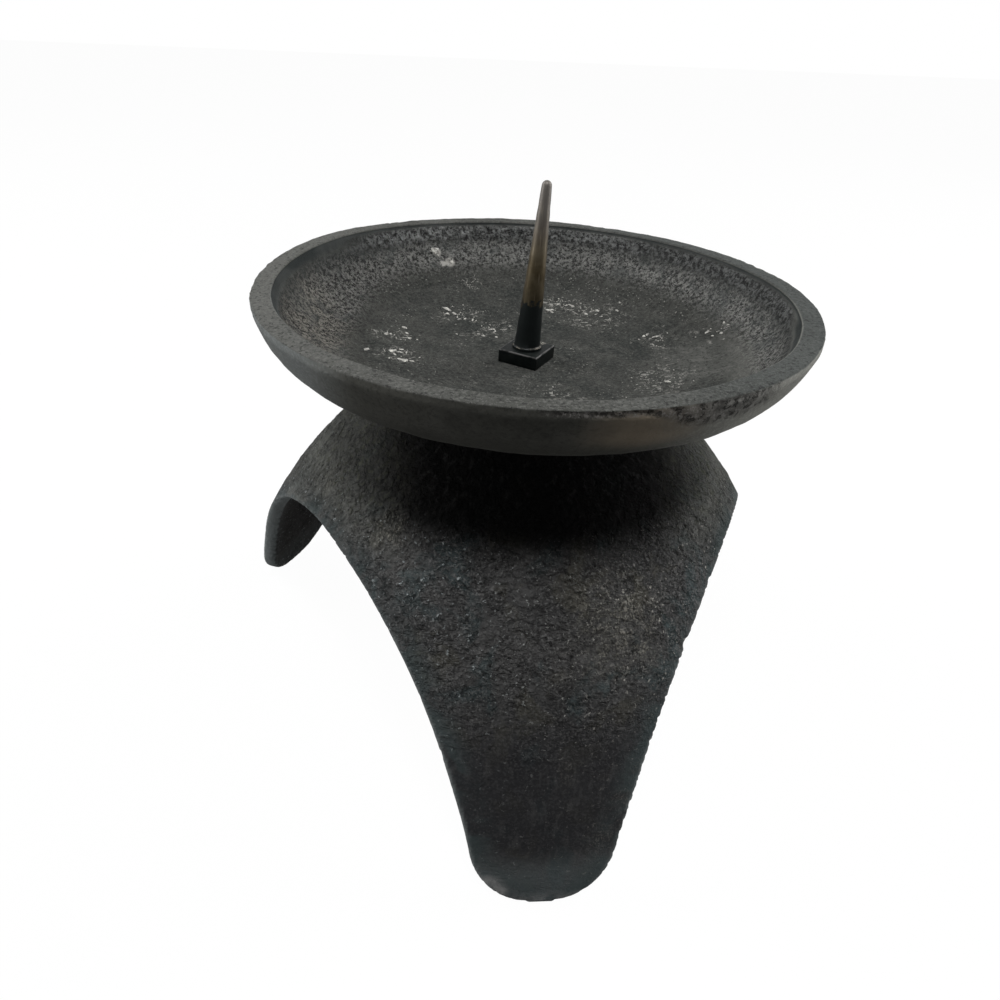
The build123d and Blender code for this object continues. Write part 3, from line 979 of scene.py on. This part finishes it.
def dishIron():
    finish = newFinish("dish_iron")
    tints = dishTints
    marks = dishMarks(finish)
    rim = finish.attribute("rimWear")
    lip = finish.attribute("lipSkin")
    wall = finish.attribute("wallSkin") * (1 - lip)
    floor = finish.attribute("floorSkin")
    clump = finish.attribute("clumpSkin")
    rot = finish.attribute("rotSkin")
    lipTone = finish.tint(finish.ease(marks["patches"], 0.35, 0.65), tints["lip"], tints["lipPale"])
    iron = finish.tint(wall, dishOuterTone(finish, marks, rot), dishWallTone(finish, marks, clump))
    iron = finish.tint(lip, iron, lipTone)
    iron = finish.tint(floor, iron, dishFloorTone(finish, marks))
    iron = finish.tint(rim, iron, dishRimTone(finish, marks))
    iron = finish.tint(waxShare(finish, marks, floor, wall), iron, tints["wax"])
    roughness = 0.82 - rim * 0.16 - floor * 0.14
    coarse = wall + clump * 0.8
    crust = finish.ease(finish.noise(marks["at"], 2.2, 4.0, 0.62, 0.6), 0.42, 0.58)
    relief = marks["grains"] * (0.06 + coarse * 0.2) - marks["pits"] * (0.08 + coarse * 0.3)
    relief = relief + crust * (coarse * 0.3 + clump * 1.2)
    relief = relief + marks["coarseGrain"] * coarse * 1.4
    relief = relief + marks["rings"] * floor * 0.5 - marks["rotHoles"] * rot * 0.9
    return finish.surface({"Base Color": iron, "Roughness": roughness, "Specular IOR Level": 0.02,
                           "Normal": finish.bump(relief, 0.45)})


def waxShare(finish, marks, floor, wall):        # thin smears and specks of wax left on the iron
    values = waxValues
    at = marks["at"]
    inside = dishInside()[::-1]
    ragged = finish.noise(at, 1.3, 4.0, 0.7, 1.0)
    fine = finish.noise(at, 0.7, 2.0, 0.6)
    drift = finish.node("ShaderNodeCombineXYZ", {}, {
        "X": (finish.noise(at, 6.0, 3.0, 0.6) - 0.5) * values["wander"],
        "Y": (finish.noise(at, 5.2, 3.0, 0.6, 0.5) - 0.5) * values["wander"]})
    strayed = finish.node("ShaderNodeVectorMath", {"operation": "ADD"}, {0: at, 1: drift})
    smears = 0.0
    for (x, y), spread, count, largest in values["clusters"]:
        middle = (x, y, heightAt(inside, math.hypot(x, y)))
        smears = finish.spot(strayed, middle, spread * 0.2, spread * 1.5) + smears
    smears = smears * finish.ease(ragged, 0.56, 0.61) * 0.55
    for x, y, size in values["pools"]:
        middle = (x, y, heightAt(inside, math.hypot(x, y)))
        smears = finish.spot(at, middle, size * 0.5, size) * finish.ease(ragged, 0.42, 0.46) + smears
    zones = finish.ease(finish.noise(marks["ringPlaces"], 9.0, 3.0, 0.6), 0.46, 0.62)
    specks = finish.ease(fine, 0.65, 0.70) * zones * (floor + wall * 0.4) * 0.6
    return finish.node("ShaderNodeClamp", {}, {"Value": smears * (floor + wall) + specks})


def oldWax():
    finish = newFinish("old_wax")
    at = finish.places()
    mottle = finish.noise(at, 0.8, 4.0, 0.65)
    wax = finish.tint(finish.ease(mottle, 0.36, 0.62), (0.16, 0.156, 0.145, 1), (0.56, 0.55, 0.51, 1))
    normal = finish.bump(mottle, 0.25, 0.7)
    return finish.surface({"Base Color": wax, "Roughness": 0.6, "Specular IOR Level": 0.2, "Normal": normal})


# Spike and its threaded stud

spikeShape = dict(
    baseRadius=3.05, tipRadius=1.1, collarRadius=3.5, collarHeight=0.8, collarEdge=0.18,
    collarFillet=(0.12, 0.15), studRadius=2.96, coreRadius=2.45, pitch=1.0, neck=78.0, neckChamfer=0.5,
    threadSpare=0.2, threadOverlap=0.3, threadSteps=36, threadMerge=0.004,
    tipSteps=8, rings=24, wobble=0.035, wobbleStep=2.3, spinSteps=64, leanDegrees=1.9,
)


def makeSpike(material):
    shape = spikeShape
    collarTop = squareTop + shape["collarHeight"]
    edge = shape["collarEdge"]
    tip = shape["tipRadius"]
    tipCentre = tipHeight - tip
    fillet = shape["collarFillet"]
    outline = [
        (0, shape["neck"]), (shape["coreRadius"], shape["neck"]),
        (shape["studRadius"], shape["neck"] + shape["neckChamfer"]),
        (shape["studRadius"], squareTop), (shape["collarRadius"] - edge, squareTop),
        (shape["collarRadius"], squareTop + edge), (shape["collarRadius"], collarTop - edge),
        (shape["collarRadius"] - edge, collarTop), (shape["baseRadius"] + fillet[0], collarTop),
        (shape["baseRadius"], collarTop + fillet[1]),
    ]
    taper = math.atan2(shape["baseRadius"] - tip, tipHeight - collarTop)
    tipRound = []
    for index in range(shape["tipSteps"] + 1):
        turn = taper + (math.pi / 2 - taper) * index / shape["tipSteps"]
        tipRound.append((tip * math.cos(turn), tipCentre + tip * math.sin(turn)))
    first = outline[-1]
    last = tipRound[0]
    for index in range(1, shape["rings"]):        # rings up the cone, slightly uneven as filed by hand
        share = index / shape["rings"]
        wobble = shape["wobble"] * math.sin(index * shape["wobbleStep"])
        radius = first[0] + (last[0] - first[0]) * share + wobble
        outline.append((radius, first[1] + (last[1] - first[1]) * share))
    outline += tipRound[:-1] + [(0, tipHeight)]
    spike = turned("pricket_spike_turned", outline, shape["spinSteps"])
    activate(spike)
    bpy.ops.object.mode_set(mode="EDIT")
    bpy.ops.mesh.select_all(action="DESELECT")
    bpy.ops.object.mode_set(mode="OBJECT")
    for vertex in spike.data.vertices:        # the spike above its collar leans a little
        vertex.select = vertex.co.z > (collarTop + 0.1) * mm
    bpy.ops.object.mode_set(mode="EDIT")
    bpy.ops.transform.rotate(value=-math.radians(shape["leanDegrees"]), orient_axis="Y",
                             center_override=(0, 0, collarTop * mm))
    bpy.ops.object.mode_set(mode="OBJECT")
    thread = makeThread()
    spike = joinPieces([spike, thread])
    smoothByAngle(spike, 35)
    finishPiece(spike, "spike", "pricket_spike", material)
    return spike


def makeThread():        # an M6 thread: one tooth screwed up the stud, cut flat at both ends
    shape = spikeShape
    pitch = shape["pitch"]
    start = studEnd - 2 * pitch
    turns = int((shape["neck"] + shape["threadSpare"] - start) / pitch) + 2
    tooth = [(shape["coreRadius"], 0), (shape["studRadius"], 0.40), (shape["studRadius"], 0.56),
             (shape["coreRadius"], 0.94), (shape["coreRadius"], 1.0)]
    points = [(radius * mm, 0, (start + rise * pitch) * mm) for radius, rise in tooth]
    thread = startVertex("stud_thread", points[0])
    extrudeAlong(points)
    bpy.ops.object.mode_set(mode="OBJECT")
    addModifier(thread, "SCREW", axis="Z", angle=2 * math.pi, screw_offset=pitch * mm, iterations=turns,
                steps=shape["threadSteps"], render_steps=shape["threadSteps"],
                use_merge_vertices=True, merge_threshold=shape["threadMerge"] * mm)
    applyModifiers(thread)
    for height, keepAbove in ((studEnd, True), (shape["neck"] + shape["threadOverlap"], False)):
        editAll(thread)
        bpy.ops.mesh.remove_doubles(threshold=shape["threadMerge"] * mm)
        bpy.ops.mesh.select_all(action="SELECT")
        bpy.ops.mesh.bisect(plane_co=(0, 0, height * mm), plane_no=(0, 0, 1), use_fill=True,
                            clear_inner=keepAbove, clear_outer=not keepAbove)
    cleanMesh(shape["threadMerge"])
    bpy.ops.object.mode_set(mode="OBJECT")
    return thread


brassTints = dict(
    brass=(0.043, 0.033, 0.018, 1), pale=(0.083, 0.069, 0.045, 1), low=(0.040, 0.032, 0.020, 1),
    tip=(0.108, 0.101, 0.095, 1), filed=(0.20, 0.17, 0.13, 1), lacquer=(0.008, 0.010, 0.010, 1),
    ring=(0.15, 0.135, 0.11, 1), steel=grey(0.30, 0.02),
)


def tarnishedBrass():
    finish = newFinish("tarnished_brass")
    tints = brassTints
    at = finish.places()
    height = finish.axis(at, "Z")
    ragged = finish.noise(at, 1.7, 3.0, 0.65)
    stain = finish.noise(at, 4.0, 3.0, 0.6)
    filed = finish.noise(finish.drawn(at, 1, 0.08), 0.5, 2.0)
    lacquer = finish.ease(height + (ragged - 0.5) * 8.0, 105.6, 104.4) * finish.ease(height, 79.0, 86.0)
    steel = finish.ease(height, 86.0, 79.0)
    brass = finish.tint(finish.ease(stain, 0.30, 0.70), tints["brass"], tints["pale"])
    brass = finish.tint(finish.ease(height, 113.0, 106.0) * 0.55, brass, tints["low"])
    brass = finish.tint(finish.ease(height, 114.0, 128.0) * 0.85, brass, tints["tip"])
    brass = finish.tint(finish.ease(filed, 0.55, 0.75) * 0.3, brass, tints["filed"])
    colour = finish.tint(lacquer, brass, tints["lacquer"])
    ring = finish.ease(height, 94.90, 94.75) * finish.ease(height, 94.50, 94.62)
    colour = finish.tint(ring * finish.ease(ragged, 0.44, 0.58) * 0.8, colour, tints["ring"])
    colour = finish.tint(steel, colour, tints["steel"])
    metal = 0.75 - lacquer * 0.72
    roughness = 0.44 + stain * 0.14 - lacquer * 0.10
    normal = finish.bump(filed * 0.5 + ragged * 0.5, 0.12, 0.5)
    return finish.surface({"Base Color": colour, "Roughness": roughness, "Metallic": metal,
                           "Specular IOR Level": 0.10, "Normal": normal})


# Square nut under the spike

squareShape = dict(side=10.0, turnDegrees=-34.0, edge=0.3, edgeSegments=3, edgeProfile=0.6, hole=3.02,
                   holeSteps=48)


def makeSquareNut(material):
    shape = squareShape
    height = squareTop - floorHeight
    clearSelection()
    bpy.ops.mesh.primitive_cube_add(size=mm, location=(0, 0, (floorHeight + height / 2) * mm))
    nut = bpy.context.object
    nut.name = "square_nut_filed"
    nut.data.name = nut.name
    bpy.ops.transform.resize(value=(shape["side"], shape["side"], height))
    applyPlace(nut)
    editAll(nut)
    bpy.ops.mesh.bevel(offset=shape["edge"] * mm, segments=shape["edgeSegments"],
                       profile=shape["edgeProfile"], affect="EDGES")
    bpy.ops.object.mode_set(mode="OBJECT")
    clearSelection()
    bpy.ops.mesh.primitive_cylinder_add(vertices=shape["holeSteps"], radius=shape["hole"] * mm,
                                        depth=3 * height * mm, location=(0, 0, floorHeight * mm))
    hole = bpy.context.object
    applyPlace(hole)
    cutAway(nut, hole)
    nut.rotation_euler.z = math.radians(shape["turnDegrees"])
    applyPlace(nut)
    smoothByAngle(nut, 30)
    finishPiece(nut, "spike", "square_nut", material)
    return nut


def blackLacquer():
    finish = newFinish("black_lacquer")
    at = finish.places(-math.radians(squareShape["turnDegrees"]))
    speck = finish.noise(at, 0.5, 2.0, 0.6)
    mottle = finish.noise(at, 2.4, 3.0, 0.6)
    x = finish.axis(at, "X")
    y = finish.axis(at, "Y")
    z = finish.axis(at, "Z")
    far = finish.node("ShaderNodeMath", {"operation": "MAXIMUM"}, {0: abs(x), 1: abs(y)})
    half = squareShape["side"] / 2
    topEdge = finish.ease(far, half - 0.38, half - 0.15) * finish.ease(z, squareTop - 0.42, squareTop - 0.12)
    colour = finish.tint(finish.ease(mottle, 0.35, 0.70), (0.002, 0.003, 0.003, 1), (0.006, 0.0075, 0.007, 1))
    colour = finish.tint(topEdge * finish.ease(mottle, 0.30, 0.55) * 0.8, colour, grey(0.11, 0.02))
    smear = finish.spot(at, (1.6, 4.2, squareTop), 0.5, 1.6) * finish.ease(speck, 0.42, 0.58)
    colour = finish.tint(smear * 0.8, colour, (0.40, 0.38, 0.33, 1))
    roughness = 0.36 + mottle * 0.22
    normal = finish.bump(speck * 0.6 + mottle * 0.4, 0.10, 0.5)
    return finish.surface({"Base Color": colour, "Roughness": roughness, "Specular IOR Level": 0.10,
                           "Normal": normal})


# Washer and hex nut under the crown

clampShape = dict(washerRadius=6.0, washerHole=3.2, washerEdge=0.22, washerSteps=64,
                  acrossFlats=10.0, sides=6, chamferDegrees=30.0, faceInset=0.1, hole=3.02, mouth=0.5,
                  edge=0.12, edgeSegments=2, edgeDegrees=35, nutSteps=96)


def makeWasher(material):
    shape = clampShape
    edge = shape["washerEdge"]
    low = washerUnder
    high = crownUnder
    outline = [
        (shape["washerHole"], low + edge / 2), (shape["washerHole"] + edge / 2, low),
        (shape["washerRadius"] - edge, low), (shape["washerRadius"] - edge * 0.3, low + edge * 0.3),
        (shape["washerRadius"], low + edge), (shape["washerRadius"], high - edge / 2),
        (shape["washerRadius"] - edge / 2, high), (shape["washerHole"] + edge / 2, high),
        (shape["washerHole"], high - edge / 2), (shape["washerHole"], low + edge / 2),
    ]
    washer = turned("flat_washer_pressed", outline, shape["washerSteps"])
    smoothByAngle(washer, 30)
    finishPiece(washer, "nut", "flat_washer", material)
    return washer


def makeHexNut(material):
    shape = clampShape
    flat = shape["acrossFlats"] / 2
    corner = flat / math.cos(math.pi / shape["sides"])
    bevel = (corner - flat) * math.tan(math.radians(shape["chamferDegrees"]))
    mouth = shape["mouth"]
    low = hexUnder
    high = washerUnder
    face = flat - shape["faceInset"]
    blank = turned("clamp_nut_turned", [
        (shape["hole"], low + mouth), (shape["hole"] + mouth, low), (face, low), (corner, low + bevel),
        (corner, high - bevel), (face, high), (shape["hole"] + mouth, high), (shape["hole"], high - mouth),
        (shape["hole"], low + mouth),
    ], shape["nutSteps"])
    clearSelection()
    bpy.ops.mesh.primitive_cylinder_add(vertices=shape["sides"], radius=corner * mm,
                                        depth=(high - low + 2) * mm, location=(0, 0, (low + high) / 2 * mm),
                                        rotation=(0, 0, math.pi / shape["sides"]))
    prism = bpy.context.object
    applyPlace(prism)
    addModifier(blank, "BOOLEAN", object=prism, operation="INTERSECT", solver="EXACT")
    addModifier(blank, "BEVEL", width=shape["edge"] * mm, segments=shape["edgeSegments"],
                limit_method="ANGLE", angle_limit=math.radians(shape["edgeDegrees"]))
    applyModifiers(blank)
    bpy.data.objects.remove(prism)
    smoothByAngle(blank, 30)
    finishPiece(blank, "nut", "clamp_nut", material)
    return blank


def platedSteel():
    finish = newFinish("plated_steel")
    at = finish.places()
    brushed = finish.noise(finish.drawn(at, 1, 0.1), 0.4, 2.0)
    dull = finish.noise(at, 3.0, 3.0, 0.6)
    rust = finish.ease(finish.noise(at, 2.2, 4.0, 0.65), 0.56, 0.70)
    colour = finish.tint(finish.ease(dull, 0.3, 0.7), grey(0.30, 0.02), grey(0.46, 0.03))
    colour = finish.tint(rust * 0.7, colour, (0.16, 0.075, 0.035, 1))
    roughness = 0.38 + dull * 0.18 + rust * 0.2
    normal = finish.bump(brushed * 0.6 + dull * 0.4, 0.08, 0.5)
    return finish.surface({"Base Color": colour, "Roughness": roughness, "Metallic": 0.9 - rust * 0.6,
                           "Normal": normal})


# Floor, light and camera

stageValues = dict(floorSize=6.0, floorColour=0.28, whiteShare=0.93, whiteLevel=1.05, ambient=0.005,
                   aimHeight=80.0, clipStart=0.01)
lampValues = dict(        # bearing and rise in degrees, distance and size in metres, power in watts
    key=dict(bearing=-100, rise=69.8, distance=1.1, size=0.21, power=8.6),
    left=dict(bearing=159, rise=39, distance=1.0, size=0.42, power=5.0),
    right=dict(bearing=21, rise=39, distance=1.0, size=0.42, power=6.2),
    lowLeft=dict(bearing=174, rise=5, distance=1.0, size=0.45, power=5.5),
    lowRight=dict(bearing=0, rise=5, distance=1.0, size=0.45, power=5.5),
)
viewValues = dict(        # where the photograph was taken from
    place=(-26.87, -165.36, 161.62), heading=-4.58, down=33.037, roll=2.551,
    focalPixels=740.0, middlePixel=(463.8, 487.9), picturePixels=1000, sensor=36.0,
)


def seenRays(finish):        # 1 for what the camera sees, also in metal and glass
    camera = finish.node("ShaderNodeLightPath", {}, {}, "Is Camera Ray")
    glossy = finish.node("ShaderNodeLightPath", {}, {}, "Is Glossy Ray")
    clear = finish.node("ShaderNodeLightPath", {}, {}, "Is Transmission Ray")
    return camera + glossy + clear


def makeFloor():
    clearSelection()
    bpy.ops.mesh.primitive_plane_add(size=stageValues["floorSize"])
    floor = bpy.context.object
    floor.name = "studio_floor"
    finish = newFinish("studio_white")
    matt = finish.node("ShaderNodeBsdfDiffuse", {}, {"Color": grey(stageValues["floorColour"])})
    white = finish.node("ShaderNodeEmission", {}, {"Color": grey(1.0), "Strength": stageValues["whiteLevel"]})
    seen = seenRays(finish) * stageValues["whiteShare"]
    finish.output(finish.node("ShaderNodeMixShader", {}, {0: seen, 1: matt, 2: white}))
    floor.data.materials.append(finish.owner)


def makeWorld():
    world = bpy.data.worlds.new("studio_air")
    bpy.context.scene.world = world
    finish = Finish(world)
    strength = finish.node("ShaderNodeMapRange", {}, {"Value": seenRays(finish), "To Max": 1.0,
                                                       "To Min": stageValues["ambient"]}, "Result")
    air = finish.node("ShaderNodeBackground", {}, {"Color": grey(1.0), "Strength": strength})
    finish.output(air, "ShaderNodeOutputWorld")


def makeLamps():
    aim = Vector((0, 0, stageValues["aimHeight"] * mm))
    for name, values in lampValues.items():
        bearing = math.radians(values["bearing"])
        rise = math.radians(values["rise"])
        way = Vector((math.cos(rise) * math.cos(bearing), math.cos(rise) * math.sin(bearing), math.sin(rise)))
        clearSelection()
        bpy.ops.object.light_add(type="AREA", location=aim + way * values["distance"])
        lamp = bpy.context.object
        lamp.name = name
        lamp.data.shape = "SQUARE"
        lamp.data.size = values["size"]
        lamp.data.energy = values["power"]
        lamp.rotation_euler = (-way).to_track_quat("-Z", "Y").to_euler()


def makeCamera():
    values = viewValues
    clearSelection()
    bpy.ops.object.camera_add()
    camera = bpy.context.object
    place = Matrix.Translation([value * mm for value in values["place"]])
    heading = Matrix.Rotation(math.radians(values["heading"]), 4, "Z")
    pitch = Matrix.Rotation(math.radians(90 - values["down"]), 4, "X")
    roll = Matrix.Rotation(math.radians(values["roll"]), 4, "Z")
    camera.matrix_world = place @ heading @ pitch @ roll
    camera.data.sensor_width = values["sensor"]
    camera.data.lens = values["focalPixels"] / values["picturePixels"] * values["sensor"]
    middle = values["picturePixels"] / 2
    camera.data.shift_x = (middle - values["middlePixel"][0]) / values["picturePixels"]
    camera.data.shift_y = (values["middlePixel"][1] - middle) / values["picturePixels"]
    camera.data.clip_start = stageValues["clipStart"]
    bpy.context.scene.camera = camera


bpy.context.scene.view_settings.view_transform = "Standard"
makeWorld()
makeFloor()
makeLamps()
makeCamera()
print("stage ready")
makeTripodCasting(baseIron())
makeDripDish(dishIron())
makeWaxFlecks(oldWax())
makeSpike(tarnishedBrass())
makeSquareNut(blackLacquer())
steel = platedSteel()
makeWasher(steel)
makeHexNut(steel)

bpy.context.view_layer.update()
